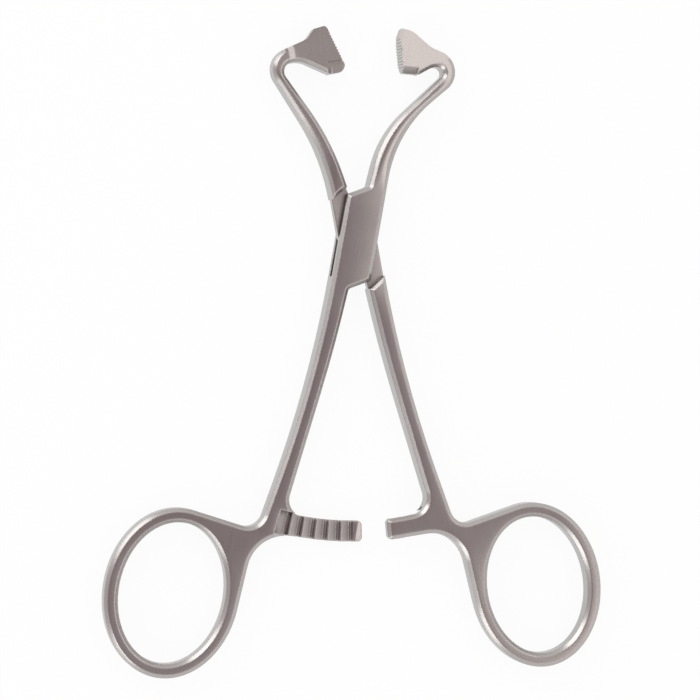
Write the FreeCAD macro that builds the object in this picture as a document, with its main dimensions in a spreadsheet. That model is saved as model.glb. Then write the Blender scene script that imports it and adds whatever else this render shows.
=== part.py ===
import FreeCAD, Part
import math
import os
import types

import Sketcher

# Towel clamp with finger rings, a box lock and a ratchet, all in stainless steel.
# Lengths are in millimetres and angles in degrees.
# The instrument lies in the XY plane with its jaws towards +Y and its front towards +Z.
# The origin is on the pivot axis, in the plane of the box's underside.
# Each half is drawn closed, about its own middle plane, and is then opened about the pivot.
# In that drawing "out" runs from the middle line towards the half's own jaw,
# so the jaw is at out > 0 and the shank and ring are at out < 0.

# Where a constraint holds on to a piece of geometry in a sketch, and the sketch's own origin
START, END, CENTRE = 1, 2, 3
ORIGIN = -1

# Driving dimensions: alias, value and what it is
SIZES = [
    # Box lock
    ("box_thick", 5.4, "box lock, front to back"),
    ("box_half_width", 3.8, "middle line to the side of the box"),
    ("box_flat_reach", 6.5, "pivot to where the faces start to taper"),
    ("plate_margin", 1.4, "from there to the plate's low corner, along Y"),
    ("plate_rise", 2.4, "the plate's low corner to its high corner, along Y"),
    ("plate_root_radius", 0.8, "small round where the plate meets the jaw or shank"),
    ("middle_gap", 0.25, "half the gap between the closed halves beside the box"),
    ("slot_thick", 1.8, "slot through the box, front to back"),
    ("slot_margin", 1.3, "the plate's low corner to the slot's round end, along Y"),
    ("tongue_gap", 0.05, "running gap on each face of the tongue"),
    ("heel_margin", 0.4, "the plate's low corner to the tongue's hidden end, along Y"),
    ("shoulder_gap", 0.35, "closed gap between a shoulder and its plate, along Y"),
    # Pivot pin
    ("pin_radius", 2.0, "pivot pin"),
    ("pin_gap", 0.04, "radial running gap of the tongue on the pin"),
    # Shank
    ("shank_bend_y", 27.9, "pivot to the bend of the shank's outer edge"),
    ("shank_outer_radius", 240.0, "bend of the shank's outer edge"),
    ("shank_foot_out", 9.4, "middle line to the foot of the outer edge"),
    ("shank_foot_drop", 4.2, "ratchet's near edge to the foot of the outer edge"),
    ("crotch_radius", 3.4, "round between shank and ring web"),
    ("inner_bend_out", 0.9, "middle line to the bend of the inner edge"),
    ("inner_bend_y", 21.9, "pivot to the bend of the inner edge"),
    ("inner_bend_radius", 300.0, "bend of the shank's inner edge"),
    ("inner_foot_out", 4.95, "middle line to the foot of the inner edge"),
    ("inner_foot_radius", 3.3, "round between the shank and the ratchet arm"),
    # Finger ring and its web
    ("ring_out", 23.95, "middle line to the ring's centre"),
    ("ring_drop", 18.8, "ratchet's near edge to the ring's centre, along Y"),
    ("ring_half_width", 13.2, "outside of the ring, half its width"),
    ("ring_half_length", 16.5, "outside of the ring, half its length"),
    ("ring_wall", 2.75, "ring wall in the plane of the instrument"),
    ("ring_end_thick", 3.8, "thickness at the far end of the ring"),
    ("web_foot_out", 9.9, "middle line to the corner under the web"),
    ("web_foot_drop", 4.5, "ratchet's near edge to the corner under the web"),
    ("web_foot_radius", 7.4, "round between the ring and the ratchet arm"),
    # Ratchet
    ("ratchet_near", 55.6, "pivot to the near edge of a ratchet arm"),
    ("ratchet_width", 4.1, "near edge to far edge of a ratchet arm"),
    ("ratchet_tip_round", 1.1, "round at the corners of an arm's tip"),
    ("ratchet_tip_ease", 0.05, "how far outside the arm's edges those rounds would end"),
    ("ratchet_gap", 0.3, "room around a ratchet arm, in the plane"),
    ("ratchet_split", 0.1, "gap between the faces of the two arms"),
    ("box_arm_angle", 11.4, "angle from the middle line to the tip of the box half's arm"),
    ("tongue_arm_angle", 4.5, "angle from the middle line to the tip of the tongue half's arm"),
    ("box_relief_angle", 6.1, "angle that the box half's web is ground back to"),
    ("tongue_relief_angle", 12.4, "angle that the tongue half's web is ground back to"),
    ("tooth_pitch", 2.56, "angle from tooth to tooth"),
    ("box_tooth_first", 3.06, "angle from the middle line back to the box half's first crest"),
    ("tongue_tooth_first", 1.3, "angle from the middle line back to the tongue half's first crest"),
    ("tooth_depth", 0.85, "crest to valley"),
    ("tooth_face", 0.55, "width of a tooth's steep face, seen from the front"),
    ("tooth_width", 2.45, "width of a tooth, along the arm"),
    ("tooth_round", 0.5, "rounded valley"),
    ("box_teeth", 6, "teeth on the box half's arm"),
    ("tongue_teeth", 3, "teeth on the tongue half's arm"),
    # Jaws: faces and grips that both halves share
    ("jaw_tip_thick", 3.8, "thickness at the top of the jaws"),
    ("jaw_top_y", 42.3, "pivot to the top of the jaws"),
    ("grip_across", 2.23, "middle line to the closed grip line, halfway up the grips"),
    ("grip_y", 37.0, "pivot to halfway up the grips"),
    ("grip_lean", 16.3, "angle between the grip line and the middle line"),
    ("grip_preload", 0.12, "how far a grip reaches past that line, which springs the shanks"),
    ("grip_teeth", 10, "grooves across each grip"),
    ("grip_tooth_pitch", 0.61, "groove to groove along a grip"),
    ("grip_tooth_width", 0.36, "width of a groove"),
    ("grip_tooth_depth", 0.18, "depth of a groove"),
    ("grip_tooth_top", 3.15, "halfway up the grip to the top groove"),
    ("bevel", 0.7, "bevel along the edges of the faces"),
    ("head_bevel", 1.35, "wider bevel along the lower edge of each jaw's head"),
    ("head_bevel_end", 0.45, "how far short of the head's outer end that bevel stops"),
    ("brow_round", 0.6, "round at the top of the tongue half's grip"),
    ("chin_round", 1.2, "round at the foot of the tongue half's grip"),
    ("corner_ease", 0.03, "how far outside the edges a corner's round would end"),
    ("cut_room", 1.0, "how far a cut runs past the metal"),
    # Opening at rest
    ("half_opening", 10.35, "angle that each half is opened from closed"),
]

# Corners of the jaws: name, distance out, distance up from the pivot and corner radius.
# A corner on the side of the box or on the grip line takes its distance out from there.
BOX_JAW = [
    ("outer_knee", "side", 21.9, 26.0),
    ("outer_bend", 17.3, 38.1, 4.25),
    ("neck", 7.95, 39.8, 6.0),
    ("crown", 3.6, 42.25, 3.5),
    ("brow", 1.4, 42.3, 0.0),
    ("grip_top", "grip", 40.5, 0.0),
    ("grip_foot", "grip", 33.65, 0.0),
    ("cheek", 6.4, 34.05, 0.0),
    ("arch", 8.85, 36.05, 2.5),
    ("inner_bend", 12.95, 37.1, 1.2),
    ("inner_knee", 0.95, 21.0, 22.0),
]
TONGUE_JAW = [
    ("outer_knee", "side", 16.6, 42.0),
    ("outer_bend", 12.65, 37.4, 4.2),
    ("neck", 3.15, 39.9, 2.5),
    ("crown", 1.45, 41.65, 0.0),
    ("brow", "grip", 41.95, 0.0),
    ("chin", "grip", 32.55, 0.0),
    ("cheek", -0.2, 32.45, 0.0),
    ("arch", 5.2, 35.9, 4.5),
    ("inner_bend", 9.9, 35.8, 1.8),
    ("inner_knee", 2.05, 19.7, 48.0),
]


class Size:
    """A length, angle or count that knows the sheet expression it comes from."""

    def __init__(self, text, value):
        self.text = text
        self.value = value

    @staticmethod
    def of(number):
        if isinstance(number, Size):
            return number
        return Size(str(number), float(number))

    def __add__(self, other):
        other = Size.of(other)
        return Size(f"({self.text} + {other.text})", self.value + other.value)

    def __sub__(self, other):
        other = Size.of(other)
        return Size(f"({self.text} - {other.text})", self.value - other.value)

    def __mul__(self, other):
        other = Size.of(other)
        return Size(f"({self.text} * {other.text})", self.value * other.value)

    def __truediv__(self, other):
        other = Size.of(other)
        return Size(f"({self.text} / {other.text})", self.value / other.value)

    def __neg__(self):
        return Size(f"(0 - {self.text})", -self.value)


def root(size):
    """Square root."""
    return Size(f"sqrt({size.text})", math.sqrt(size.value))


def sine(angle):
    return Size(f"sin({angle.text})", math.sin(math.radians(angle.value)))


def cosine(angle):
    return Size(f"cos({angle.text})", math.cos(math.radians(angle.value)))


def tangent(angle):
    return Size(f"tan({angle.text})", math.tan(math.radians(angle.value)))


def arc_cosine(ratio):
    return Size(f"acos({ratio.text})", math.degrees(math.acos(ratio.value)))


def direction(across, up):
    angle = math.degrees(math.atan2(up.value, across.value))
    return Size(f"atan2({up.text}; {across.text})", angle)


def fill_sheet(sheet, rows):
    """Write the rows as plain numbers with aliases and return them as sizes by name."""
    named = types.SimpleNamespace()
    for row, (alias, value, note) in enumerate(rows, start=1):
        sheet.set(f"A{row}", note)
        sheet.set(f"B{row}", str(value))
        sheet.setAlias(f"B{row}", alias)
        setattr(named, alias, Size(f"{sheet.Name}.{alias}", float(value)))
    return named


def add_derived(size):
    """Add the sizes that follow from others."""
    size.plate_near = size.box_flat_reach + size.plate_margin
    size.plate_far = size.plate_near + size.plate_rise
    size.slot_radius = size.plate_near + size.slot_margin
    size.heel_reach = size.plate_near + size.heel_margin
    size.ratchet_far = size.ratchet_near + size.ratchet_width
    size.shank_foot_y = size.ratchet_near + size.shank_foot_drop
    size.ring_y = size.ratchet_near + size.ring_drop
    size.web_foot_y = size.ratchet_near + size.web_foot_drop


def jaw_rows(half, corners):
    """Give each jaw corner its own rows for the sheet."""
    rows = []
    for name, out, up, radius in corners:
        if not isinstance(out, str):
            rows.append((f"{half}_{name}_out", out, f"{half} half's jaw, {name}: out"))
        rows.append((f"{half}_{name}_up", up, f"{half} half's jaw, {name}: up"))
        if radius:
            rows.append((f"{half}_{name}_radius", radius, f"{half} half's jaw, {name}: radius"))
    return rows


def jaw_outline(size, half, corners):
    """Read the jaw's corners back from the sheet as (out, up, radius)."""
    grip_side = 1 if half == "box" else -1
    outline = []
    for name, out, up, radius in corners:
        up = getattr(size, f"{half}_{name}_up")
        if out == "side":
            out = size.box_half_width
        elif out == "grip":
            line = size.grip_across + (size.grip_y - up) * tangent(size.grip_lean)
            out = line * grip_side - size.grip_preload
        else:
            out = getattr(size, f"{half}_{name}_out")
        outline.append((out, up, getattr(size, f"{half}_{name}_radius", None)))
    return outline


def origin_feature(body, role):
    return [item for item in body.Origin.OriginFeatures if item.Role == role][0]


def new_sketch(body, name, plane, lift=None):
    """Attach a sketch to one of the body's own origin planes, lifted along its normal."""
    sketch = body.newObject("Sketcher::SketchObject", name)
    sketch.AttachmentSupport = [(origin_feature(body, plane), "")]
    sketch.MapMode = "FlatFace"
    if lift is not None:
        sketch.setExpression("AttachmentOffset.Base.z", lift.text)
    return sketch


def turn(sketch, axis, angle):
    """Turn a sketch about one of its own axes."""
    offset = FreeCAD.Placement(FreeCAD.Vector(0, 0, 0), FreeCAD.Rotation(axis, angle.value))
    sketch.AttachmentOffset = offset
    sketch.setExpression("AttachmentOffset.Rotation.Angle", angle.text)


def radial_sketch(body, name, reach, angle):
    """Stand a sketch at a reach from the pivot, facing outwards, at an angle from the -Y axis.

    Its X runs across the arm's length and its Y along the pivot's axis.
    """
    sketch = new_sketch(body, name, "XZ_Plane")
    turn(sketch, FreeCAD.Vector(0, 1, 0), angle)
    sketch.setExpression("AttachmentOffset.Base.x", (reach * sine(angle)).text)
    sketch.setExpression("AttachmentOffset.Base.z", (reach * cosine(angle)).text)
    return sketch


def constrain(sketch, size, kind, *items):
    """Add a dimension to the sketch and bind it to the size's expression."""
    index = sketch.addConstraint(Sketcher.Constraint(kind, *items, size.value))
    sketch.setExpression(f"Constraints[{index}]", size.text)


def place_point(sketch, geometry, vertex, across, up):
    """Fix a vertex at its distances from the sketch's origin."""
    constrain(sketch, across, "DistanceX", ORIGIN, START, geometry, vertex)
    constrain(sketch, up, "DistanceY", ORIGIN, START, geometry, vertex)


def draw_outline(sketch, corners):
    """Draw a closed outline of straight edges with tangent arcs at the rounded corners.

    Each corner is (across, up, radius), and radius is None at a sharp corner.
    """
    spots = [FreeCAD.Vector(across.value, up.value, 0) for across, up, radius in corners]
    count = len(corners)
    rounds = []
    for index, (across, up, radius) in enumerate(corners):
        spot = spots[index]
        into = (spot - spots[index - 1]).normalize()
        away = (spots[(index + 1) % count] - spot).normalize()
        if radius is None:
            rounds.append((spot, spot, None, False))
            continue
        left_turn = into.cross(away).z > 0
        setback = radius.value * math.tan(into.getAngle(away) / 2)
        first = spot - into * setback
        last = spot + away * setback
        middle_way = (away - into).normalize()
        centre = spot + middle_way * math.hypot(setback, radius.value)
        rounds.append((first, last, centre, left_turn))

    lines = []
    for index in range(count):
        start = rounds[index][1]
        end = rounds[(index + 1) % count][0]
        lines.append(sketch.addGeometry(Part.LineSegment(start, end), False))

    for index, (across, up, radius) in enumerate(corners):
        line_in = lines[index - 1]
        line_out = lines[index]
        if radius is None:
            sketch.addConstraint(Sketcher.Constraint("Coincident", line_in, END, line_out, START))
            place_point(sketch, line_out, START, across, up)
            continue
        first, last, centre, left_turn = rounds[index]
        circle = Part.Circle(centre, FreeCAD.Vector(0, 0, 1), radius.value)
        ends = (first, last) if left_turn else (last, first)
        angles = [math.atan2(end.y - centre.y, end.x - centre.x) for end in ends]
        arc = sketch.addGeometry(Part.ArcOfCircle(circle, angles[0], angles[1]), False)
        arc_in, arc_out = (START, END) if left_turn else (END, START)
        sketch.addConstraint(Sketcher.Constraint("Tangent", line_in, END, arc, arc_in))
        sketch.addConstraint(Sketcher.Constraint("Tangent", line_out, START, arc, arc_out))
        constrain(sketch, radius, "Radius", arc)
        mark = sketch.addGeometry(Part.Point(spots[index]), True)
        place_point(sketch, mark, START, across, up)
        sketch.addConstraint(Sketcher.Constraint("PointOnObject", mark, START, line_in))
        sketch.addConstraint(Sketcher.Constraint("PointOnObject", mark, START, line_out))


def draw_ellipse(sketch, across, up, half_width, half_height):
    """Draw an upright ellipse, its long axis along the sketch's Y."""
    centre = FreeCAD.Vector(across.value, up.value, 0)
    top = centre + FreeCAD.Vector(0, half_height.value, 0)
    side = centre + FreeCAD.Vector(half_width.value, 0, 0)
    ellipse = sketch.addGeometry(Part.Ellipse(top, side, centre), False)
    place_point(sketch, ellipse, CENTRE, across, up)
    top_mark = sketch.addGeometry(Part.Point(top), True)
    side_mark = sketch.addGeometry(Part.Point(side), True)
    place_point(sketch, top_mark, START, across, up + half_height)
    place_point(sketch, side_mark, START, across + half_width, up)
    axis = sketch.addGeometry(Part.LineSegment(centre, top), True)
    sketch.addConstraint(
        Sketcher.Constraint("InternalAlignment:EllipseMajorDiameter", axis, ellipse))
    sketch.addConstraint(Sketcher.Constraint("Vertical", axis))
    sketch.addConstraint(Sketcher.Constraint("PointOnObject", top_mark, START, ellipse))
    sketch.addConstraint(Sketcher.Constraint("PointOnObject", side_mark, START, ellipse))


def draw_circle(sketch, radius):
    """Draw a circle about the sketch's origin."""
    circle = sketch.addGeometry(
        Part.Circle(FreeCAD.Vector(0, 0, 0), FreeCAD.Vector(0, 0, 1), radius.value), False)
    sketch.addConstraint(Sketcher.Constraint("Coincident", ORIGIN, START, circle, CENTRE))
    constrain(sketch, radius, "Radius", circle)


def draw_sector(sketch, side, near, far, start_angle, end_angle):
    """Draw a piece of a ring about the origin, by angles from the -Y axis towards out."""
    origin = FreeCAD.Vector(0, 0, 0)
    up = FreeCAD.Vector(0, 0, 1)
    low, high = (start_angle, end_angle) if side > 0 else (end_angle, start_angle)
    turns = [math.radians(side * angle.value - 90) for angle in (low, high)]
    arcs = []
    for radius in (near, far):
        circle = Part.Circle(origin, up, radius.value)
        arc = sketch.addGeometry(Part.ArcOfCircle(circle, turns[0], turns[1]), False)
        sketch.addConstraint(Sketcher.Constraint("Coincident", ORIGIN, START, arc, CENTRE))
        constrain(sketch, radius, "Radius", arc)
        arcs.append(arc)
    for vertex, angle in ((START, low), (END, high)):
        ends = [sketch.getPoint(arc, vertex) for arc in arcs]
        edge = sketch.addGeometry(Part.LineSegment(ends[0], ends[1]), False)
        for arc, edge_end, radius in zip(arcs, (START, END), (near, far)):
            sketch.addConstraint(Sketcher.Constraint("Coincident", edge, edge_end, arc, vertex))
            across = sine(angle) * radius * side
            constrain(sketch, across, "DistanceX", ORIGIN, START, arc, vertex)


def pad(body, sketch, name, length, symmetric=True):
    """Raise a solid from a sketch."""
    feature = body.newObject("PartDesign::Pad", name)
    feature.Profile = sketch
    feature.Midplane = symmetric
    feature.setExpression("Length", length.text)
    return feature


def pocket(body, sketch, name, length, symmetric=False, flip=False):
    """Cut a sketch into the body, against the sketch's normal unless it is flipped."""
    feature = body.newObject("PartDesign::Pocket", name)
    feature.Profile = sketch
    feature.Midplane = symmetric
    feature.Reversed = flip
    feature.setExpression("Length", length.text)
    return feature


def ring_tangent(size, foot_out, foot_y, way):
    """Find where the line from a foot of the web touches the ring's outer ellipse."""
    across = (size.ring_out - foot_out) / size.ring_half_width
    up = (size.ring_y - foot_y) / size.ring_half_length
    reach = root(across * across + up * up)
    angle = direction(across, up) + arc_cosine(Size.of(1) / reach) * way
    out = size.ring_half_width * cosine(angle) - size.ring_out
    return (out, size.ring_half_length * sine(angle) - size.ring_y, None)


def shank_outline(size):
    """List the corners from the foot of the box, round the ring's web and arm, and back."""
    middle = Size.of(0)
    return [
        (-size.box_half_width, -size.shank_bend_y, size.shank_outer_radius),
        (-size.shank_foot_out, -size.shank_foot_y, size.crotch_radius),
        ring_tangent(size, size.shank_foot_out, size.shank_foot_y, 1),
        (-size.ring_out, -size.ring_y, None),
        ring_tangent(size, size.web_foot_out, size.web_foot_y, -1),
        (-size.web_foot_out, -size.web_foot_y, size.web_foot_radius),
        (middle, -size.ratchet_far, None),
        (middle, -size.ratchet_near, None),
        (-size.inner_foot_out, -size.ratchet_near, size.inner_foot_radius),
        (-size.inner_bend_out, -size.inner_bend_y, size.inner_bend_radius),
    ]


def box_ends(size):
    """List the corners of the box half's plates: beside the jaw, then beside the shank."""
    upper = [
        (size.middle_gap, size.plate_far, size.plate_root_radius),
        (-size.box_half_width, size.plate_near, None),
    ]
    return upper, turned(upper)


def tongue_ends(size):
    """List the tongue's hidden ends: beside the jaw, then beside the shank."""
    upper = [
        (size.middle_gap, size.heel_reach, None),
        (-size.box_half_width, size.heel_reach, size.box_half_width),
    ]
    return upper, turned(upper)


def turned(corners):
    """Turn corners half a turn about the pivot."""
    return [(-out, -up, radius) for out, up, radius in corners]


def sided(corners, side):
    """Lay corners given as out and up on the side of the middle line that the jaw is on."""
    return [(out * side, up, radius) for out, up, radius in corners]


def taper_cut(body, size, way):
    """Taper the front or back face from the box to the jaw's top and the ring's end."""
    room = size.cut_room
    face = size.box_thick / 2
    sketch = new_sketch(body, "TaperProfile", "YZ_Plane")
    ring_end = -(size.ring_y + size.ring_half_length)
    for start, end, thick, outward in (
            (-size.box_flat_reach, ring_end, size.ring_end_thick, -1),
            (size.box_flat_reach, size.jaw_top_y, size.jaw_tip_thick, 1)):
        past_end = end + room * outward
        profile = [
            (start, face),
            (end, thick / 2),
            (past_end, thick / 2),
            (past_end, face + room),
            (start, face + room),
        ]
        draw_outline(sketch, [(along, depth * way, None) for along, depth in profile])
    reach = (size.ring_out + size.ring_half_width + room) * 2
    pocket(body, sketch, "Taper", reach, symmetric=True)


def face_edges(shape, keep):
    """Name the edges between a flat face and an upright wall that the keep test accepts."""
    lean = 0.1
    names = []
    for index, edge in enumerate(shape.Edges, start=1):
        faces = shape.ancestorsOfType(edge, Part.Face)
        if len(faces) != 2:
            continue
        tilts = sorted(abs(face.normalAt(*face_middle(face)).z) for face in faces)
        middle = edge.valueAt((edge.FirstParameter + edge.LastParameter) / 2)
        if tilts[0] < lean and tilts[1] > 1 - lean and keep(middle):
            names.append(f"Edge{index}")
    return names


def face_middle(face):
    low_u, high_u, low_v, high_v = face.ParameterRange
    return ((low_u + high_u) / 2, (low_v + high_v) / 2)


def bevel_edges(body, size, keep):
    """Bevel the edges between the flat faces and the walls."""
    base = body.Tip
    feature = body.newObject("PartDesign::Chamfer", "Bevel")
    feature.Base = (base, face_edges(base.Shape, keep))
    feature.setExpression("Size", size.bevel.text)


def round_arm_tip(body, size, side, tip):
    """Cut round the corners at the tip of the ratchet arm."""
    sketch = new_sketch(body, "ArmTip", "XY_Plane")
    turn(sketch, FreeCAD.Vector(0, 0, 1), tip * side)
    room = size.cut_room
    near = -(size.ratchet_near - size.ratchet_tip_ease)
    far = -(size.ratchet_far + size.ratchet_tip_ease)
    inside = -(size.ratchet_tip_round * 2)
    corners = [
        (inside, near, None),
        (size.ratchet_tip_ease, near, size.ratchet_tip_round),
        (size.ratchet_tip_ease, far, size.ratchet_tip_round),
        (inside, far, None),
        (inside, far - room, None),
        (room, far - room, None),
        (room, near + room, None),
        (inside, near + room, None),
    ]
    draw_outline(sketch, sided(corners, side))
    pocket(body, sketch, "ArmTipCut", size.box_thick + room, symmetric=True)


def bevel_head(body, size, side, half, corners):
    """Grind a wide bevel along the lower edge of the jaw's head, front and back."""
    outline = jaw_outline(size, half, corners)
    cheek = [corner[0] for corner in corners].index("cheek")
    (foot_out, foot_up, sharp), (cheek_out, cheek_up, sharp) = outline[cheek - 1:cheek + 1]
    length = cheek_out - foot_out
    slope = direction(length, (cheek_up - foot_up) * side)
    sketch = new_sketch(body, "HeadBevel", "YZ_Plane", (cheek_out - size.head_bevel_end) * side)
    sketch.setExpression("AttachmentOffset.Base.x", cheek_up.text)
    turn(sketch, FreeCAD.Vector(0, 1, 0), slope)
    taper = (size.box_thick - size.jaw_tip_thick) / (size.jaw_top_y - size.box_flat_reach) / 2
    face = size.box_thick / 2 - taper * (cheek_up - size.box_flat_reach)
    room = size.cut_room
    for way in (1, -1):
        draw_outline(sketch, [
            (-room, (face - size.head_bevel - room) * way, None),
            (size.head_bevel + room, (face + room) * way, None),
            (-room, (face + room) * way, None),
        ])
    pocket(body, sketch, "HeadBevelCut", length + room, flip=side < 0)


def toward(start, end, reach):
    """Find the point at a reach from one corner towards another, and the way there."""
    across = end[0] - start[0]
    up = end[1] - start[1]
    length = root(across * across + up * up)
    way = (across / length, up / length)
    return (start[0] + way[0] * reach, start[1] + way[1] * reach), way


def round_corner(body, size, side, name, outline, index, radius):
    """Cut round an upright corner of the outline."""
    corner = outline[index]
    reach = radius * 2
    before, way_before = toward(corner, outline[index - 1], reach)
    after, way_after = toward(corner, outline[index + 1], reach)
    away = [-(first + second) for first, second in zip(way_before, way_after)]
    sketch = new_sketch(body, name, "XY_Plane")
    corners = []
    for spot, shift, bend in (
            (before, size.corner_ease, None), (corner, size.corner_ease, radius),
            (after, size.corner_ease, None), (after, size.cut_room, None),
            (corner, size.cut_room, None), (before, size.cut_room, None)):
        corners.append((spot[0] + away[0] * shift, spot[1] + away[1] * shift, bend))
    draw_outline(sketch, sided(corners, side))
    pocket(body, sketch, f"{name}Cut", size.box_thick + size.cut_room, symmetric=True)


def off_the_grip(size, grip_side):
    """Make the test that leaves out the edges along a grip face."""
    lean = math.tan(math.radians(size.grip_lean.value))

    def keep(spot):
        line = size.grip_across.value + (size.grip_y.value - spot.y) * lean
        edge = line - grip_side * size.grip_preload.value
        return abs(spot.x - edge) > size.grip_preload.value
    return keep


def half_blank(document, size, half, side, jaw_corners):
    """Make a half's body up to its tapered blank, before the lock and ratchet are cut."""
    body = document.addObject("PartDesign::Body", f"{half.title()}Half")
    body.Label = f"{half}_half"
    upper, lower = box_ends(size) if half == "box" else tongue_ends(size)
    corners = jaw_outline(size, half, jaw_corners) + upper + shank_outline(size) + lower
    outline = new_sketch(body, "Outline", "XY_Plane")
    draw_outline(outline, sided(corners, side))
    pad(body, outline, "Blank", size.box_thick)

    ring = new_sketch(body, "RingOutline", "XY_Plane")
    ring_across = -size.ring_out * side
    draw_ellipse(ring, ring_across, -size.ring_y, size.ring_half_width, size.ring_half_length)
    pad(body, ring, "Ring", size.box_thick)

    arm = new_sketch(body, "ArmOutline", "XY_Plane")
    tip = size.box_arm_angle if half == "box" else size.tongue_arm_angle
    draw_sector(arm, side, size.ratchet_near, size.ratchet_far, Size.of(0), tip)
    pad(body, arm, "RatchetArm", size.box_thick)

    hole = new_sketch(body, "FingerHole", "XY_Plane")
    draw_ellipse(
        hole, ring_across, -size.ring_y,
        size.ring_half_width - size.ring_wall, size.ring_half_length - size.ring_wall)
    pocket(body, hole, "FingerHoleCut", size.box_thick + size.cut_room, symmetric=True)

    taper_cut(body, size, 1)
    taper_cut(body, size, -1)
    return body


def cut_bore(body, size, radius):
    """Bore the body for the pivot pin."""
    bore = new_sketch(body, "Bore", "XY_Plane")
    draw_circle(bore, radius)
    pocket(body, bore, "BoreCut", size.box_thick + size.cut_room, symmetric=True)


def cut_slot(body, size):
    """Cut the slot through the box: round about the pivot and open where the tongue comes out."""
    round_slot = new_sketch(body, "SlotRound", "XY_Plane")
    draw_circle(round_slot, size.slot_radius)
    pocket(body, round_slot, "SlotRoundCut", size.slot_thick, symmetric=True)

    mouths = new_sketch(body, "SlotMouths", "XY_Plane")
    side = size.box_half_width + size.cut_room
    end = size.plate_far + size.cut_room
    middle = Size.of(0)
    upper = [
        (middle, size.plate_near / 2, None),
        (middle, end, None),
        (-side, end, None),
        (-side, size.plate_near / 2, None),
    ]
    draw_outline(mouths, upper)
    draw_outline(mouths, turned(upper))
    pocket(body, mouths, "SlotMouthsCut", size.slot_thick, symmetric=True)


def thin_tongue(body, size, side, way):
    """Grind the front or back of the half to the tongue, between two slanted shoulders."""
    tongue_face = size.slot_thick / 2 - size.tongue_gap
    sketch = new_sketch(body, "Shoulders", "XY_Plane", tongue_face * way)
    width = size.box_half_width + size.cut_room
    slope = (size.plate_far - size.plate_near) / (size.box_half_width + size.middle_gap)
    seat = size.plate_near + size.shoulder_gap
    near_end = seat - slope * size.cut_room
    far_end = seat + slope * (size.box_half_width + width)
    corners = [(width, near_end, None), (-width, far_end, None)]
    draw_outline(sketch, sided(corners + turned(corners), side))
    pocket(body, sketch, "Tongue", size.box_thick, flip=way > 0)


def relieve_ratchet(body, size, side, front, root_angle, tip_angle):
    """Grind away the front or the back of the arm and its web for the other half's arm."""
    face = -(size.ratchet_split / 2) if front else size.ratchet_split / 2
    sketch = new_sketch(body, "Relief", "XY_Plane", face)
    draw_sector(
        sketch, side, size.ratchet_near - size.ratchet_gap, size.ratchet_far + size.ratchet_gap,
        -root_angle, tip_angle + size.tooth_pitch)
    pocket(body, sketch, "ReliefCut", size.box_thick, flip=front)


def cut_teeth(body, size, side, front, first_angle, count):
    """Cut the ratchet's teeth across the arm's inner face.

    Each tooth slopes gently towards the arm's tip and is steep towards its root.
    """
    reach = size.ratchet_far + size.cut_room
    sketch = radial_sketch(body, "Tooth", reach, -first_angle * side)
    way = -1 if front else 1
    crest = size.ratchet_split / 2 * way
    valley = crest + size.tooth_depth * way
    air = crest - size.cut_room * way
    middle = Size.of(0)
    corners = [
        (middle, crest, None),
        (middle, air, None),
        (-size.tooth_width, air, None),
        (-size.tooth_width, crest, None),
        (-size.tooth_face, valley, size.tooth_round),
    ]
    draw_outline(sketch, sided(corners, side))
    length = size.ratchet_far - size.ratchet_near + size.cut_room * 2
    tooth = pocket(body, sketch, "ToothCut", length)
    row = body.newObject("PartDesign::PolarPattern", "Teeth")
    row.Originals = [tooth]
    row.Axis = (origin_feature(body, "Z_Axis"), [""])
    row.Reversed = side < 0
    row.setExpression("Angle", (size.tooth_pitch * (count - 1)).text)
    row.setExpression("Occurrences", count.text)
    body.Tip = row


def cut_grip(body, size, side):
    """Cut the grooves across the grip's face, from its top downwards."""
    shift = size.grip_preload * side
    sketch = new_sketch(body, "GripGroove", "XY_Plane")
    turn(sketch, FreeCAD.Vector(0, 0, 1), size.grip_lean)
    sketch.setExpression("AttachmentOffset.Base.x", (size.grip_across - shift).text)
    sketch.setExpression("AttachmentOffset.Base.y", size.grip_y.text)
    face = Size.of(0)
    air = -(size.cut_room * side)
    upper = size.grip_tooth_top + size.grip_tooth_width / 2
    lower = size.grip_tooth_top - size.grip_tooth_width / 2
    draw_outline(sketch, [
        (size.grip_tooth_depth * side, size.grip_tooth_top, None),
        (face, upper, None),
        (air, upper, None),
        (air, lower, None),
        (face, lower, None),
    ])
    groove = pocket(body, sketch, "Groove", size.box_thick + size.cut_room, symmetric=True)
    row = body.newObject("PartDesign::LinearPattern", "Grip")
    row.Originals = [groove]
    row.Direction = (sketch, ["V_Axis"])
    row.Reversed = True
    row.setExpression("Length", (size.grip_tooth_pitch * (size.grip_teeth - 1)).text)
    row.setExpression("Occurrences", size.grip_teeth.text)
    body.Tip = row


def place_body(body, size, side):
    """Open the half about the pivot and set it on the plane of the box's underside."""
    axis = FreeCAD.Vector(0, 0, 1)
    body.Placement = FreeCAD.Placement(FreeCAD.Vector(0, 0, 0), FreeCAD.Rotation(axis, 1))
    body.setExpression("Placement.Base.z", (size.box_thick / 2).text)
    body.setExpression("Placement.Rotation.Angle", (-size.half_opening * side).text)


def make_box_half(document, size):
    """Right jaw, the box's plates, left shank and ring, and the arm with teeth in front."""
    side = 1
    body = half_blank(document, size, "box", side, BOX_JAW)
    document.recompute()
    bevel_edges(body, size, off_the_grip(size, 1))
    bevel_head(body, size, side, "box", BOX_JAW)
    round_arm_tip(body, size, side, size.box_arm_angle)
    cut_slot(body, size)
    cut_bore(body, size, size.pin_radius)
    relieve_ratchet(body, size, side, True, size.box_relief_angle, size.box_arm_angle)
    cut_teeth(body, size, side, True, size.box_tooth_first, size.box_teeth)
    cut_grip(body, size, side)
    place_body(body, size, side)
    return body


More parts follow.
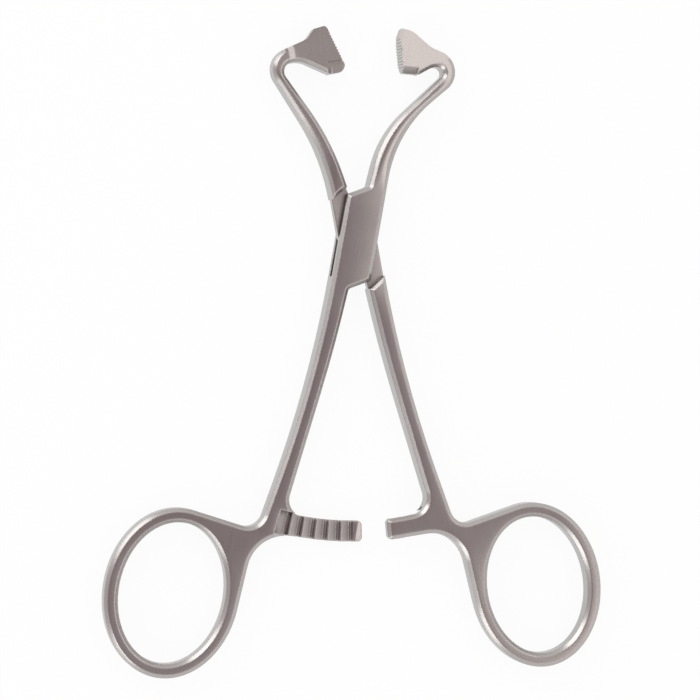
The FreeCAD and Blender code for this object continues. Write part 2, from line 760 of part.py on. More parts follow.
def make_tongue_half(document, size):
    """Left jaw, the tongue, right shank and ring, and the plain-faced arm with teeth behind."""
    side = -1
    body = half_blank(document, size, "tongue", side, TONGUE_JAW)
    thin_tongue(body, size, side, 1)
    thin_tongue(body, size, side, -1)
    document.recompute()
    tongue_face = size.slot_thick.value / 2
    keep = off_the_grip(size, -1)
    bevel_edges(body, size, lambda spot: abs(spot.z) > tongue_face and keep(spot))
    bevel_head(body, size, side, "tongue", TONGUE_JAW)
    outline = jaw_outline(size, "tongue", TONGUE_JAW)
    names = [corner[0] for corner in TONGUE_JAW]
    round_corner(body, size, side, "Brow", outline, names.index("brow"), size.brow_round)
    round_corner(body, size, side, "Chin", outline, names.index("chin"), size.chin_round)
    round_arm_tip(body, size, side, size.tongue_arm_angle)
    cut_bore(body, size, size.pin_radius + size.pin_gap)
    relieve_ratchet(body, size, side, False, size.tongue_relief_angle, size.tongue_arm_angle)
    cut_teeth(body, size, side, False, size.tongue_tooth_first, size.tongue_teeth)
    cut_grip(body, size, side)
    place_body(body, size, side)
    return body


def make_pivot_pin(document, size):
    """Pin pressed through both plates and ground flush with them."""
    pin = document.addObject("Part::Cylinder", "PivotPin")
    pin.Label = "pivot_pin"
    pin.setExpression("Radius", size.pin_radius.text)
    pin.setExpression("Height", size.box_thick.text)
    return pin


def check(document, parts):
    """Stop if an object failed to build or a part has no sound shape."""
    for item in document.Objects:
        if "Invalid" in item.State or "Error" in item.State:
            raise RuntimeError(f"{item.Name} failed: {item.State}")
    for part in parts:
        if part.Shape.isNull() or not part.Shape.isValid():
            raise RuntimeError(f"{part.Label} has no sound shape")
        if len(part.Shape.Solids) != 1:
            raise RuntimeError(f"{part.Label} is not one solid")


def main():
    document = FreeCAD.newDocument("TowelClamp")
    sheet = document.addObject("Spreadsheet::Sheet", "Sizes")
    rows = SIZES + jaw_rows("box", BOX_JAW) + jaw_rows("tongue", TONGUE_JAW)
    size = fill_sheet(sheet, rows)
    add_derived(size)
    document.recompute()
    parts = [
        make_box_half(document, size),
        make_tongue_half(document, size),
        make_pivot_pin(document, size),
    ]
    document.recompute()
    check(document, parts)
    os.makedirs("parts", exist_ok=True)
    for part in parts:
        part.Shape.exportStep(f"parts/{part.Label}.step")
        print(part.Label, round(part.Shape.Volume, 2), len(part.Shape.Faces), "faces")


if __name__ == "__main__":
    main()
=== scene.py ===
"""Dresses the towel clamp's solids in satin steel and photographs them on a white table.

The instrument lies on the table with its jaws towards +Y and its front towards +Z.
All three solids are kept as they are: each one gets a procedural finish.
"""

import logging
import math
from dataclasses import dataclass, field
from enum import Enum
from typing import Any, Mapping, Sequence, Union

import bpy
import numpy as np
from mathutils import Matrix, Vector


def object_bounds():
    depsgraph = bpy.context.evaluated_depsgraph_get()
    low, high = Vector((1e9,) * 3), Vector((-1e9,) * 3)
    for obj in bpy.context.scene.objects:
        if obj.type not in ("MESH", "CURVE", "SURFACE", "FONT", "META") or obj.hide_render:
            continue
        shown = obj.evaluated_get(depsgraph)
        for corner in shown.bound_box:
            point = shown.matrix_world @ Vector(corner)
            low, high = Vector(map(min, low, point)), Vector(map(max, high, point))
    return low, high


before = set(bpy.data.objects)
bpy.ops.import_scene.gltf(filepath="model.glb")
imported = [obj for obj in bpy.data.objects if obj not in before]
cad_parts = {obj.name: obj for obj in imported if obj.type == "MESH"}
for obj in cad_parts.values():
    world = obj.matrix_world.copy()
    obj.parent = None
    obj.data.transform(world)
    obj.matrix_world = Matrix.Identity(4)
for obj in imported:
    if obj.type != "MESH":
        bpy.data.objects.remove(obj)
CAD_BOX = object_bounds()

LOG = logging.getLogger("towel_clamp")

Colour = tuple[float, float, float]
Point = tuple[float, float, float]
Span = tuple[float, float]


class Part(Enum):
    """The solids of the instrument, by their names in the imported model."""

    BOX_HALF = "box_half"
    TONGUE_HALF = "tongue_half"
    PIVOT_PIN = "pivot_pin"


def grey(level: float) -> Colour:
    """Return a neutral colour of that level."""
    return (level, level, level)


class Wire:
    """A node's output socket that adds Math nodes when it is used in an expression."""

    def __init__(self, painter: "Painter", socket: bpy.types.NodeSocket) -> None:
        """Keep the painter that makes the nodes and the socket that it wraps.

        Args:
            painter: The painter of the material.
            socket: The output socket.
        """
        self.painter = painter
        self.socket = socket

    def maths(self, operation: str, *values: "Value", clamp: bool = False) -> "Wire":
        """Add one Math node over the values.

        Args:
            operation: Blender's name of the operation.
            values: The operands, wires or numbers, in order.
            clamp: Whether the result is held between 0 and 1.

        Returns:
            The result.
        """
        settings = {"operation": operation, "use_clamp": clamp}
        return self.painter.node("ShaderNodeMath", settings, dict(enumerate(values)))[0]

    def __add__(self, other: "Value") -> "Wire":
        """Return the sum."""
        return self.maths("ADD", self, other)

    def __radd__(self, other: float) -> "Wire":
        """Return the sum, with the number on the left."""
        return self.maths("ADD", other, self)

    def __sub__(self, other: "Value") -> "Wire":
        """Return the difference."""
        return self.maths("SUBTRACT", self, other)

    def __rsub__(self, other: float) -> "Wire":
        """Return the difference, with the number on the left."""
        return self.maths("SUBTRACT", other, self)

    def __mul__(self, other: "Value") -> "Wire":
        """Return the product."""
        return self.maths("MULTIPLY", self, other)

    def __rmul__(self, other: float) -> "Wire":
        """Return the product, with the number on the left."""
        return self.maths("MULTIPLY", other, self)

    def __truediv__(self, other: "Value") -> "Wire":
        """Return the quotient."""
        return self.maths("DIVIDE", self, other)

    def __rtruediv__(self, other: float) -> "Wire":
        """Return the quotient, with the number on the left."""
        return self.maths("DIVIDE", other, self)

    def __abs__(self) -> "Wire":
        """Return the size, without its sign."""
        return self.maths("ABSOLUTE", self)

    def larger(self, other: "Value") -> "Wire":
        """Return the larger of two values."""
        return self.maths("MAXIMUM", self, other)

    def held(self) -> "Wire":
        """Return the value held between 0 and 1."""
        return self.maths("ADD", self, 0.0, clamp=True)

    def ramp(self, low: float, high: float) -> "Wire":
        """Rise smoothly from 0 at one value to 1 at another.

        Args:
            low: The value that gives 0.
            high: The value that gives 1.

        Returns:
            The smooth step.
        """
        settings = {"interpolation_type": "SMOOTHSTEP"}
        values = {"Value": self, "From Min": low, "From Max": high}
        return self.painter.node("ShaderNodeMapRange", settings, values)[0]


Value = Union[Wire, float]
Settings = Mapping[str, Any]
Inputs = Mapping[Union[str, int], Any]


class Painter:
    """Builds the nodes of one material, or of the world."""

    def __init__(self, name: str, owner: Any = None) -> None:
        """Start with no nodes.

        Args:
            name: The new material's name.
            owner: What gets the nodes instead of a new material, such as a world.
        """
        self.owner = owner or bpy.data.materials.new(name)
        self.owner.use_nodes = True
        self.tree = self.owner.node_tree
        self.tree.nodes.clear()

    def node(self, kind: str, settings: Settings, inputs: Inputs) -> list[Wire]:
        """Add a node: its settings first, then the values or links of its sockets.

        Args:
            kind: Blender's type name of the node.
            settings: Properties of the node, by name.
            inputs: Sockets by name or number, each with a number, colour, point or wire.

        Returns:
            The node's enabled outputs, in order.
        """
        node = self.tree.nodes.new(kind)
        for name, setting in settings.items():
            setattr(node, name, setting)
        for key, given in inputs.items():
            socket = node.inputs[key]
            if isinstance(given, Wire):
                self.tree.links.new(given.socket, socket)
            elif isinstance(given, tuple) and socket.type == "RGBA":
                socket.default_value = (*given, 1.0)
            else:
                socket.default_value = given
        return [Wire(self, output) for output in node.outputs if output.enabled]

    def mix_colour(self, share: Value, first: Any, second: Any) -> Wire:
        """Mix two colours.

        Args:
            share: How much of the second colour, 0 to 1.
            first: A colour or wire.
            second: A colour or wire.

        Returns:
            The mixed colour.
        """
        colour_a, colour_b = 6, 7
        inputs = {0: share, colour_a: first, colour_b: second}
        return self.node("ShaderNodeMix", {"data_type": "RGBA"}, inputs)[0]

    def mix_vector(self, share: Value, first: Any, second: Any) -> Wire:
        """Mix two vectors.

        Args:
            share: How much of the second vector, 0 to 1.
            first: A vector or wire.
            second: A vector or wire.

        Returns:
            The mixed vector, not made unit length.
        """
        vector_a, vector_b = 4, 5
        inputs = {0: share, vector_a: first, vector_b: second}
        return self.node("ShaderNodeMix", {"data_type": "VECTOR"}, inputs)[0]

    def vector(self, operation: str, *values: Any, scale: Value = 1.0) -> Wire:
        """Add one Vector Math node over the values.

        Args:
            operation: Blender's name of the operation.
            values: The vectors, wires or points, in order.
            scale: What a vector is multiplied by, where the operation is SCALE.

        Returns:
            The result.
        """
        inputs = dict(enumerate(values))
        if operation == "SCALE":
            inputs["Scale"] = scale
        return self.node("ShaderNodeVectorMath", {"operation": operation}, inputs)[0]

    def split(self, vector: Wire) -> list[Wire]:
        """Return the three coordinates of a vector."""
        return self.node("ShaderNodeSeparateXYZ", {}, {0: vector})

    def noise(self, where: Wire, scale: float, detail: float = 2.0, rough: float = 0.5) -> Wire:
        """Return a noise of about 0 to 1 over the points of a wire.

        Args:
            where: The points.
            scale: Cells to a metre.
            detail: Octaves.
            rough: Share of each finer octave.

        Returns:
            The noise.
        """
        inputs = {"Vector": where, "Scale": scale, "Detail": detail, "Roughness": rough}
        return self.node("ShaderNodeTexNoise", {}, inputs)[0]

    def noise_vector(self, where: Wire, scale: float) -> Wire:
        """Return a smooth noise of three values of about 0 to 1.

        Args:
            where: The points.
            scale: Cells to a metre.

        Returns:
            The noise, as a colour.
        """
        colour_output = 1
        inputs = {"Vector": where, "Scale": scale, "Detail": 1.0}
        return self.node("ShaderNodeTexNoise", {}, inputs)[colour_output]

    def place(self, turn: float = 0.0, stretch: Point = (1.0, 1.0, 1.0)) -> Wire:
        """Return the piece's own coordinates, turned about Z and then stretched.

        Args:
            turn: The angle, in degrees.
            stretch: What each turned coordinate is multiplied by.

        Returns:
            The points.
        """
        object_output = 3
        own = self.node("ShaderNodeTexCoord", {}, {})[object_output]
        angle = (0.0, 0.0, math.radians(turn))
        turned = self.node("ShaderNodeMapping", {}, {"Vector": own, "Rotation": angle})[0]
        return self.node("ShaderNodeMapping", {}, {"Vector": turned, "Scale": stretch})[0]

    def finish(self, shader: Wire) -> bpy.types.Material:
        """Send the shader to the surface and hand over the material."""
        self.node("ShaderNodeOutputMaterial", {}, {"Surface": shader})
        return self.owner


@dataclass(frozen=True)
class Region:
    """A box in a half's own drawing, with soft sides: out from the middle line, and up.

    Lengths are in metres.
    """

    out_low: float
    out_high: float
    up_low: float
    up_high: float
    fade: float = 0.0008
    share: float = 1.0

    def mask(self, out: Wire, up: Wire) -> Wire:
        """Return the share inside the box, falling to 0 over the fade.

        Args:
            out: Distance out from the middle line.
            up: Distance up from the pivot.

        Returns:
            The mask: the share times a smooth step at each of the four sides.
        """
        left = out.ramp(self.out_low - self.fade, self.out_low + self.fade)
        right = out.ramp(self.out_high + self.fade, self.out_high - self.fade)
        low = up.ramp(self.up_low - self.fade, self.up_low + self.fade)
        high = up.ramp(self.up_high + self.fade, self.up_high - self.fade)
        return left * right * low * high * self.share


NOWHERE = Region(0.0, 0.0, 0.0, 0.0, share=0.0)


@dataclass(frozen=True)
class ArmLine:
    """The middle line of a jaw's arm in a half's own drawing: an arc, then its tangent.

    The arm narrows evenly from its foot to its top. Lengths are in metres and the turn of
    the arc is in degrees.
    """

    centre_out: float
    centre_up: float
    radius: float
    turn: float
    reach: float = 0.0024
    foot: float = 0.012
    foot_half_width: float = 0.0017
    top: float = 0.0315
    top_half_width: float = 0.00115
    fade: float = 0.0035
    blend: float = 0.0008

    def outward(self, painter: Painter, out: Wire, up: Wire) -> tuple[Wire, Wire]:
        """Return how far a point is off the line, in half widths of the arm.

        Args:
            painter: The material's painter.
            out: Distance out from the middle line of the half.
            up: Distance up from the pivot.

        Returns:
            The offset in the half's own drawing, out and up, and the share on the arm.
        """
        place = painter.node("ShaderNodeCombineXYZ", {}, {0: out, 1: up})[0]
        inward = painter.vector("SUBTRACT", (self.centre_out, self.centre_up, 0.0), place)
        off_arc = self.radius - painter.vector("LENGTH", inward)
        angle = math.radians(self.turn)
        aside = (math.cos(angle), -math.sin(angle), 0.0)
        off_tangent = self.radius - painter.vector("DOT_PRODUCT", inward, aside)
        end = self.centre_up + self.radius * math.sin(angle)
        past_arc = up.ramp(end - self.blend, end + self.blend)
        offset = off_arc + past_arc * (off_tangent - off_arc)
        way = painter.mix_vector(past_arc, painter.vector("NORMALIZE", inward), aside)
        on_arm = abs(offset).ramp(self.reach + self.blend, self.reach)
        on_arm = on_arm * up.ramp(self.top + self.fade, self.top)
        taper = (self.top_half_width - self.foot_half_width) / (self.top - self.foot)
        half_width = (up - self.foot) * taper + self.foot_half_width
        return painter.vector("SCALE", way, scale=offset / half_width), on_arm


@dataclass(frozen=True)
class Spot:
    """Where a point of a half is, as wires.

    Facing is the face's true normal and lift is its upward part. Across, out and up are in
    metres, in the half's own drawing: across it, out towards its own jaw, and up from the
    pivot. The rest are 1 in the region that they name and 0 away from it.
    """

    facing: Wire
    lift: Wire
    across: Wire
    out: Wire
    up: Wire
    near_lock: Wire
    in_slot: Wire
    on_arm: Wire
    on_head: Wire
    on_teeth: Wire
    on_land: Wire
    level_face: Wire


@dataclass(frozen=True)
class SatinSteel:
    """Stainless steel, ground along the piece and then matted, with edges rubbed bright and also
    painted lighter as a highlight, and with painted shade in its hollows.

    Lengths are in metres and angles in degrees. A lean is added to the normal of the faces,
    in the half's own drawing: this is how far the grinder left them from level. A span gives
    the values between which something rises smoothly from 0 to 1, and cells are counted to
    a metre.
    """

    name: str = "satin_steel"
    opening: float = 0.0
    out_sign: float = 1.0

    colour: Colour = (0.43, 0.42, 0.405)
    # Grinding lines and rubbed edges are lighter; the edges are also painted lighter as a
    # highlight.
    worn_and_highlight_colour: Colour = (0.68, 0.655, 0.645)
    # Painted shade: the colour that hollows, grip grooves, ratchet valleys and the chin crease
    # are darkened towards.
    painted_shade_colour: Colour = (0.15, 0.13, 0.12)
    cloud_tone: float = 0.045
    cloud_contrast: float = 0.9
    line_wear: float = 0.07
    # Edge wear mixed with a painted highlight; the arms' edges get an extra painted highlight.
    edge_wear_and_highlight: float = 0.40
    arm_edge_highlight: float = 0.35
    # How strongly painted shade darkens the hollows and the grooves.
    hollow_shade: float = 0.70
    groove_shade: float = 0.85

    roughness: float = 0.28
    worn_roughness: float = 0.20
    roughness_swing: float = 0.08
    hollow_roughness: float = 0.12

    cloud_cells: float = 110.0
    speckle_cells: float = 4200.0
    grain_width: float = 0.00016
    grain_length: float = 0.006
    grain_depth: float = 0.0000020
    grain_strength: float = 0.6
    speckle_share: float = 0.2

    edge_round: float = 0.00040
    arm_edge_round: float = 0.00055
    crown_round: float = 0.0026
    crown_share: float = 0.12
    round_samples: int = 6
    sky_samples: int = 8
    hollow_reach: float = 0.0018
    groove_reach: float = 0.00045
    edge_span: Span = (0.004, 0.10)
    level_span: Span = (0.3, 0.5)
    open_span: Span = (0.93, 0.995)
    tooth_span: Span = (0.2, 0.3)
    hollow_span: Span = (0.20, 0.80)
    valley_span: Span = (0.60, 1.0)
    groove_span: Span = (0.50, 0.93)

    pin_seam: float = 0.0020
    lock_reach: float = 0.0120
    lock_fade: float = 0.0020
    lock_crown: float = 17.0
    slot_floor: float = 0.0042
    slot_fade: float = 0.0001
    arm_low: float = 0.0160
    arm_line: ArmLine = ArmLine(0.0480, 0.0062, 0.0460, 24.6)
    arm_crown: float = 0.50
    arm_lean: float = 0.0
    arm_along: float = 0.35
    head: Region = Region(-0.006, 0.006, 0.0335, 0.060, 0.0010)
    eased: tuple[Region, ...] = ()
    # Where a thin line of painted shade is drawn across a level face.
    crease: Region = NOWHERE
    neck: Region = NOWHERE
    neck_lean: float = 0.21
    jaw_lean: float = 0.0
    shank_lean: float = -0.055
    ring_lean: float = 0.055
    ring_from: float = 0.0600
    lean_from: float = 0.0090
    lean_over: float = 0.0100
    teeth_from: float = 0.0530
    teeth_fade: float = 0.0005
    teeth_under: float = 0.0028
    teeth_under_fade: float = 0.00005
    land_from: float = 0.0101
    land_fade: float = 0.0006
    land_lean: float = 0.25
    wave_slope: float = 0.010
    wave_length: float = 0.013

    def find(self, painter: Painter) -> Spot:
        """Work out where a point is.

        Args:
            painter: The material's painter.

        Returns:
            Its place on the half and the regions that it is in.
        """
        normal_output = 1
        facing = painter.node("ShaderNodeNewGeometry", {}, {})[normal_output]
        lift = painter.split(facing)[2]
        across, up, depth = painter.split(painter.place(self.opening))
        out = across * self.out_sign
        near_lock = abs(up).ramp(
            self.lock_reach + self.lock_fade, self.lock_reach - self.lock_fade)
        in_slot = depth.ramp(self.slot_floor + self.slot_fade, self.slot_floor)
        far_down = up.ramp(-self.teeth_from, -self.teeth_from - self.teeth_fade)
        below = depth.ramp(self.teeth_under + self.teeth_under_fade, self.teeth_under)
        on_teeth = far_down * below * lift.ramp(*self.tooth_span)
        on_land = across.ramp(self.land_from, self.land_from + self.land_fade)
        return Spot(
            facing=facing, lift=lift, across=across, out=out, up=up,
            near_lock=near_lock, in_slot=near_lock * in_slot,
            on_arm=up.ramp(self.arm_low - self.lock_fade, self.arm_low + self.lock_fade),
            on_head=self.head.mask(out, up), on_teeth=on_teeth, on_land=on_teeth * on_land,
            level_face=abs(lift).ramp(*self.level_span))

    def grinding(self, painter: Painter) -> Wire:
        """Return the height of the grinding lines: a noise drawn out along the piece.

        Args:
            painter: The material's painter.

        Returns:
            The height, about 0 to 1.
        """
        across = 1 / self.grain_width
        along = 1 / self.grain_length
        points = painter.place(self.opening, (across, along, across))
        return painter.noise(points, scale=1.0, detail=3.0, rough=0.6)

    def rounded(self, painter: Painter, spot: Spot) -> Wire:
        """Round the edges, and crown the faces, in the shading.

        Args:
            painter: The material's painter.
            spot: Where the point is.

        Returns:
            The rounded normal. It stays true round the pin, which is ground flush.
        """
        flush = painter.vector("MULTIPLY", painter.place(), (1.0, 1.0, 0.0))
        clear = self.pin_seam + self.edge_round
        off_pin = painter.vector("LENGTH", flush).ramp(clear, clear + self.edge_round)
        off_head = 1.0 - spot.on_head
        wider = spot.on_arm * off_head * (self.arm_edge_round - self.edge_round)
        crown = (1.0 - spot.on_arm) * (1.0 - spot.near_lock) * off_head * self.crown_share
        settings = {"samples": self.round_samples}
        narrow = painter.node(
            "ShaderNodeBevel", settings, {"Radius": wider + self.edge_round})[0]
        wide = painter.node("ShaderNodeBevel", settings, {"Radius": self.crown_round})[0]
        mixed = painter.mix_vector(crown, narrow, wide)
        return painter.mix_vector(off_pin, spot.facing, mixed)

    def leaned(self, painter: Painter, spot: Spot) -> Wire:
        """Return what is added to the normal of a face that looks up.

        Args:
            painter: The material's painter.
            spot: Where the point is.

        Returns:
            The lean, in the world's directions: even leans region by region, the arm's
            crown, and slow waves.
        """
        on_jaw = spot.up.ramp(self.lean_from, self.lean_from + self.lean_over)
        on_shank = spot.up.ramp(-self.lean_from, -self.lean_from - self.lean_over)
        on_ring = spot.up.ramp(-self.ring_from, -self.ring_from - self.lean_over)
        outward, on_line = self.arm_line.outward(painter, spot.out, spot.up)
        off_head = on_jaw * (1.0 - spot.on_head)
        on_line = on_line * off_head
        off_line = off_head * (1.0 - on_line) + on_jaw * spot.on_head
        swept = spot.across + spot.in_slot * (abs(spot.across) - spot.across)
        sideways = swept * spot.near_lock * self.lock_crown
        sideways = sideways + off_line * self.jaw_lean + on_line * self.arm_lean
        sideways = sideways + on_shank * self.shank_lean + on_ring * self.ring_lean
        sideways = sideways + spot.on_land * self.land_lean
        sideways = sideways + self.neck.mask(spot.out, spot.up) * self.neck_lean
        crowned = painter.vector("SCALE", outward, scale=on_line * self.arm_crown)
        crowned = painter.vector("MULTIPLY", crowned, (self.out_sign, self.arm_along, 0.0))
        even = painter.node("ShaderNodeCombineXYZ", {}, {0: sideways})[0]
        turned = painter.node(
            "ShaderNodeVectorTransform",
            {"vector_type": "VECTOR", "convert_from": "OBJECT", "convert_to": "WORLD"},
            {0: painter.vector("ADD", even, crowned)})[0]
        # The noise stays within about a quarter of its middle, so four times it spans the slope.
        waves = painter.noise_vector(painter.place(), 1 / self.wave_length)
        swing = self.wave_slope * 4
        waves = painter.vector("MULTIPLY_ADD", waves, grey(swing), grey(-swing / 2))
        return painter.vector("ADD", waves, turned)

    def normal_and_edges(self, painter: Painter, spot: Spot) -> tuple[Wire, Wire]:
        """Work out the normal that the steel is shaded with, and where its edges are.

        Args:
            painter: The material's painter.
            spot: Where the point is.

        Returns:
            The normal, and 1 on a rounded edge falling to 0 on a face.
        """
        rounded = self.rounded(painter, spot)
        agreement = painter.vector("DOT_PRODUCT", rounded, spot.facing)
        edge = (1.0 - agreement).ramp(*self.edge_span)
        side = spot.lift.maths("SIGN", spot.lift)
        flat = painter.node("ShaderNodeCombineXYZ", {}, {2: side})[0]
        for region in self.eased:
            eased = region.mask(spot.out, spot.up) * spot.level_face
            rounded = painter.mix_vector(eased, rounded, flat)
            edge = edge * (1.0 - eased)
        open_face = abs(painter.split(rounded)[2]).ramp(*self.open_span)
        lean = painter.vector("SCALE", self.leaned(painter, spot), scale=open_face)
        normal = painter.vector("NORMALIZE", painter.vector("ADD", rounded, lean))
        return normal, edge

    def open_sky(self, painter: Painter, reach: float) -> Wire:
        """Return how much of the sky a point sees.

        Args:
            painter: The material's painter.
            reach: How far away something may stand and still hide the sky.

        Returns:
            The share of the sky that is open, 0 to 1.
        """
        share_output = 1
        settings = {"samples": self.sky_samples}
        inputs = {"Distance": reach}
        return painter.node("ShaderNodeAmbientOcclusion", settings, inputs)[share_output]

    def hollows_and_painted_shade(self, painter: Painter, spot: Spot) -> tuple[Wire, Wire]:
        """Work out the hollows, and where painted shade darkens the steel.

        Args:
            painter: The material's painter.
            spot: Where the point is.

        Returns:
            1 in a hollow, and how strongly painted shade darkens the steel there, in the grooves
            of the grips, in the ratchet's valleys and in the crease.
        """
        sky = self.open_sky(painter, self.hollow_reach)
        hollow = 1.0 - sky.ramp(*self.hollow_span)
        valley = (1.0 - sky.ramp(*self.valley_span)) * spot.on_teeth
        close_sky = self.open_sky(painter, self.groove_reach)
        groove = (1.0 - close_sky.ramp(*self.groove_span)).larger(valley)
        # Painted shade: darker where the sky is hidden, in hollows, grooves and the ratchet's
        # valleys.
        painted_shade = (hollow * self.hollow_shade).larger(groove * self.groove_shade)
        # A thin line of painted shade along the crease.
        crease = self.crease.mask(spot.out, spot.up) * spot.level_face
        return hollow, painted_shade.larger(crease)

    def make(self) -> bpy.types.Material:
        """Build the material.

        Returns:
            The finished material.
        """
        painter = Painter(self.name)
        lines = self.grinding(painter)
        clouds = painter.noise(painter.place(), self.cloud_cells, detail=3.0)
        speckle = painter.noise(painter.place(), self.speckle_cells)
        spot = self.find(painter)
        normal, edge = self.normal_and_edges(painter, spot)
        hollow, painted_shade = self.hollows_and_painted_shade(painter, spot)

        # Rounded edges are lightened: partly rubbed wear, partly a painted highlight that is
        # strongest on the arms.
        edge_wear_and_highlight = edge * (spot.on_arm * self.arm_edge_highlight + self.edge_wear_and_highlight)
        tone = painter.mix_colour(
            (clouds - 0.5) * self.cloud_contrast + 0.5,
            tuple(level * (1 - self.cloud_tone) for level in self.colour),
            tuple(level * (1 + self.cloud_tone) for level in self.colour))
        tone = painter.mix_colour((lines * self.line_wear).held(), tone, self.worn_and_highlight_colour)
        tone = painter.mix_colour(edge_wear_and_highlight, tone, self.worn_and_highlight_colour)
        # Painted shade in the hollows, grooves, ratchet valleys and the chin crease.
        tone = painter.mix_colour(painted_shade, tone, self.painted_shade_colour)

        swing = (clouds - 0.5) + (lines - 0.5)
        roughness = swing * self.roughness_swing + self.roughness
        roughness = roughness - edge * (self.roughness - self.worn_roughness)
        roughness = roughness + hollow * self.hollow_roughness
        height = lines * (1 - self.speckle_share) + speckle * self.speckle_share
        bumped = painter.node(
            "ShaderNodeBump", {},
            {"Strength": self.grain_strength, "Distance": self.grain_depth,
             "Height": height, "Normal": normal})[0]
        shader = painter.node(
            "ShaderNodeBsdfPrincipled", {},
            {"Base Color": tone, "Metallic": 1.0, "Roughness": roughness.held(),
             "Normal": bumped})[0]
        return painter.finish(shader)


@dataclass(frozen=True)
class WhiteTable:
    """Matt white paper under and around the instrument, lit up to white for the camera."""

    name: str = "white_table"
    colour: Colour = (0.95, 0.95, 0.95)
    glow: float = 1.0
    glow_share: float = 0.93

    def make(self) -> bpy.types.Material:
        """Build the material: paper, mixed with an even white for camera and mirror rays.

        Returns:
            The finished material.
        """
        painter = Painter(self.name)
        paper = painter.node("ShaderNodeBsdfDiffuse", {}, {"Color": self.colour})[0]
        white = painter.node(
            "ShaderNodeEmission", {}, {"Color": grey(1.0), "Strength": self.glow})[0]
        camera_ray, glossy_ray, transmission_ray = 0, 3, 6
        path = painter.node("ShaderNodeLightPath", {}, {})
        ray = path[camera_ray] + path[glossy_ray] + path[transmission_ray]
        seen = ray.held() * self.glow_share
        mixed = painter.node("ShaderNodeMixShader", {}, {0: seen, 1: paper, 2: white})[0]
        return painter.finish(mixed)


@dataclass
class Instrument:
    """The clamp itself: two halves crossing in the box lock, and the pin through it."""

    half_opening: float = 10.35
    box_top: Region = Region(-0.002, 0.0125, 0.0380, 0.060)
    tongue_top: Region = Region(-0.006, 0.0080, 0.0374, 0.060)
    tongue_side: Region = Region(-0.007, -0.0005, 0.0349, 0.060, 0.0003)
    tongue_chin: Region = Region(-0.007, 0.0002, 0.0320, 0.0346, 0.0003, 0.84)
    tongue_neck: Region = Region(0.0063, 0.0073, 0.0355, 0.0400, 0.0005)
    # The line of painted shade along the tongue's chin.
    chin_crease: Region = Region(-0.0068, 0.0000, 0.03466, 0.03484, 0.00012, 0.55)
    box_head: Region = Region(-0.003, 0.0098, 0.0335, 0.060, 0.0012)
    tongue_head: Region = Region(-0.006, 0.0060, 0.0335, 0.060, 0.0012)
    box_arm: ArmLine = ArmLine(0.0266, 0.0124, 0.0245, 39.0)
    tongue_arm: ArmLine = ArmLine(0.0480, 0.0062, 0.0460, 24.6)
    finishes: dict[Part, SatinSteel] = field(init=False)

    def __post_init__(self) -> None:
        """Give each solid its finish, with the grain along its own shank."""
        self.finishes = {
            Part.BOX_HALF: SatinSteel(
                "satin_steel_box", opening=self.half_opening, head=self.box_head,
                eased=(self.box_top,), jaw_lean=0.16,
                arm_line=self.box_arm, arm_lean=0.05, arm_crown=0.52),
            Part.TONGUE_HALF: SatinSteel(
                "satin_steel_tongue", opening=-self.half_opening, out_sign=-1.0,
                head=self.tongue_head, neck=self.tongue_neck, crease=self.chin_crease,
                eased=(self.tongue_top, self.tongue_side, self.tongue_chin), jaw_lean=0.02,
                arm_line=self.tongue_arm, arm_lean=-0.40, arm_crown=0.56),
            Part.PIVOT_PIN: SatinSteel("satin_steel_pin", opening=self.half_opening),
        }

    def dress(self) -> None:
        """Put the finishes on the solids."""
        for part, finish in self.finishes.items():
            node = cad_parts[part.value]
            material = finish.make()
            node.data.materials.clear()
            node.data.materials.append(material)
            for slot in node.material_slots:
                slot.link = "OBJECT"
                slot.material = material
            LOG.info("%s dressed in %s", part.value, material.name)


@dataclass
class Camera:
    """The camera over the instrument, a little to its left.

    Lengths are in metres. The focal length and the sensor are in millimetres.
    """

    place: Point = (-0.12325, -0.02202, 0.49173)
    target: Point = (-0.001317, -0.022022, 0.0027)
    lens: float = 131.9
    sensor: float = 36.0
    nearest: float = 0.01
    farthest: float = 20.0

    def build(self) -> None:
        """Make the camera, level with the photograph: up in the frame is +Y."""
        data = bpy.data.cameras.new("camera")
        data.lens = self.lens
        data.sensor_width = self.sensor
        data.clip_start = self.nearest
        data.clip_end = self.farthest
        camera = bpy.data.objects.new("camera", data)
        bpy.context.scene.collection.objects.link(camera)
        back = (Vector(self.place) - Vector(self.target)).normalized()
        right = Vector((0.0, 1.0, 0.0)).cross(back).normalized()
        up = back.cross(right)
        turn = Matrix((right, up, back)).transposed().to_4x4()
        camera.matrix_world = Matrix.Translation(self.place) @ turn
        bpy.context.scene.camera = camera
        LOG.info("camera set up")


@dataclass(frozen=True)
class Lamp:
    """A soft rectangular lamp. Lengths are in metres and the power is in watts."""

    name: str
    place: Point
    target: Point
    width: float
    height: float
    power: float
    colour: Colour = (1.0, 1.0, 1.0)

    def build(self) -> None:
        """Make the lamp, facing its target."""
        data = bpy.data.lights.new(self.name, "AREA")
        data.shape = "RECTANGLE"
        data.size = self.width
        data.size_y = self.height
        data.energy = self.power
        data.color = self.colour
        lamp = bpy.data.objects.new(self.name, data)
        bpy.context.scene.collection.objects.link(lamp)
        away = Vector(self.place) - Vector(self.target)
        turn = away.to_track_quat("Z", "Y").to_matrix().to_4x4()
        lamp.matrix_world = Matrix.Translation(self.place) @ turn
        LOG.info("%s set up", self.name)


@dataclass(frozen=True)
class Shade:
    """A dim patch of the surroundings: its middle, and the angles it fades between."""

    way: Point
    full_within: float
    none_beyond: float
    share: float

    def mask(self, painter: Painter, looking: Wire) -> Wire:
        """Return how strongly the patch covers a direction.

        Args:
            painter: The painter of the world.
            looking: The direction, of unit length.

        Returns:
            The share in the patch's middle, falling to 0 at its rim.
        """
        middle = tuple(Vector(self.way).normalized())
        nearness = painter.vector("DOT_PRODUCT", looking, middle)
        rim = math.cos(math.radians(self.none_beyond))
        core = math.cos(math.radians(self.full_within))
        return nearness.ramp(rim, core) * self.share


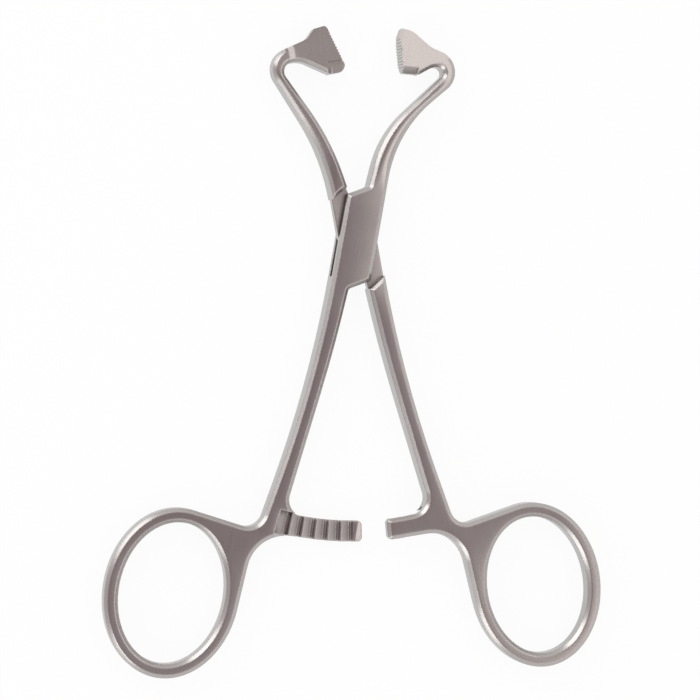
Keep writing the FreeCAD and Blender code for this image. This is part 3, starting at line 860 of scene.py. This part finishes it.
@dataclass
class Studio:
    """Table, lamps and surrounding light. Lengths are in metres."""

    table_reach: float = 1.5
    table_drop: float = 0.00005
    bright: Colour = (1.0, 0.945, 0.945)
    dim: Colour = (0.34, 0.262, 0.272)
    shades: Sequence[Shade] = (
        Shade((-0.242, 0.0, 0.970), 16.0, 49.0, 1.0),
        Shade((0.92, 0.0, 0.39), 8.0, 25.0, 0.45),
        Shade((-0.95, 0.0, 0.31), 12.0, 38.0, 0.38),
    )
    lamps: Sequence[Lamp] = (
        Lamp("lamp_far_left", (-0.68, 0.64, 0.40), (0.0, 0.0, 0.0), 0.80, 0.60, 3.0),
        Lamp("lamp_near_left", (-0.62, -0.70, 0.44), (0.0, 0.0, 0.0), 0.55, 0.65, 2.1),
        Lamp("lamp_high_far", (-0.38, 0.50, 0.78), (0.0, 0.0, 0.0), 0.28, 0.28, 0.55),
        Lamp("lamp_high_right", (0.56, 0.0, 0.83), (0.0, 0.0, 0.0), 0.9, 0.22, 0.65,
             (1.0, 0.88, 0.86)),
    )

    def build(self) -> None:
        """Make the table, the lamps and the world."""
        self.build_table()
        for lamp in self.lamps:
            lamp.build()
        self.build_world()

    def build_table(self) -> None:
        """Lay a flat sheet of white just under the instrument."""
        reach = self.table_reach
        level = CAD_BOX[0].z - self.table_drop
        corners = np.array([(-reach, -reach, level), (reach, -reach, level),
                            (reach, reach, level), (-reach, reach, level)])
        mesh = bpy.data.meshes.new("table")
        mesh.from_pydata(corners.tolist(), [], [(0, 1, 2, 3)])
        mesh.materials.append(WhiteTable().make())
        table = bpy.data.objects.new("table", mesh)
        bpy.context.scene.collection.objects.link(table)
        LOG.info("table laid")

    def build_world(self) -> None:
        """Surround the scene with a white tent, dim where the camera looks in.

        The camera itself sees white.
        """
        world = bpy.data.worlds.new("surround")
        bpy.context.scene.world = world
        painter = Painter("surround", world)
        looking = painter.vector(
            "NORMALIZE", painter.node("ShaderNodeTexCoord", {}, {})[0])
        dimmed = 0.0
        for shade in self.shades:
            dimmed = shade.mask(painter, looking) + dimmed
        tone = painter.mix_colour(dimmed.held(), self.bright, self.dim)
        tent = painter.node("ShaderNodeBackground", {}, {"Color": tone})[0]
        white = painter.node("ShaderNodeBackground", {}, {"Color": grey(1.0)})[0]
        camera_ray = painter.node("ShaderNodeLightPath", {}, {})[0]
        seen = {0: camera_ray, 1: tent, 2: white}
        mixed = painter.node("ShaderNodeMixShader", {}, seen)[0]
        painter.node("ShaderNodeOutputWorld", {}, {"Surface": mixed})
        LOG.info("surround of %d dim patches made", len(self.shades))


def main() -> None:
    """Dress the instrument, then build the studio and the camera round it."""
    logging.basicConfig(level=logging.INFO, format="%(name)s: %(message)s")
    bpy.context.scene.view_settings.view_transform = "Standard"
    Instrument().dress()
    Studio().build()
    Camera().build()


if __name__ == "__main__":
    main()
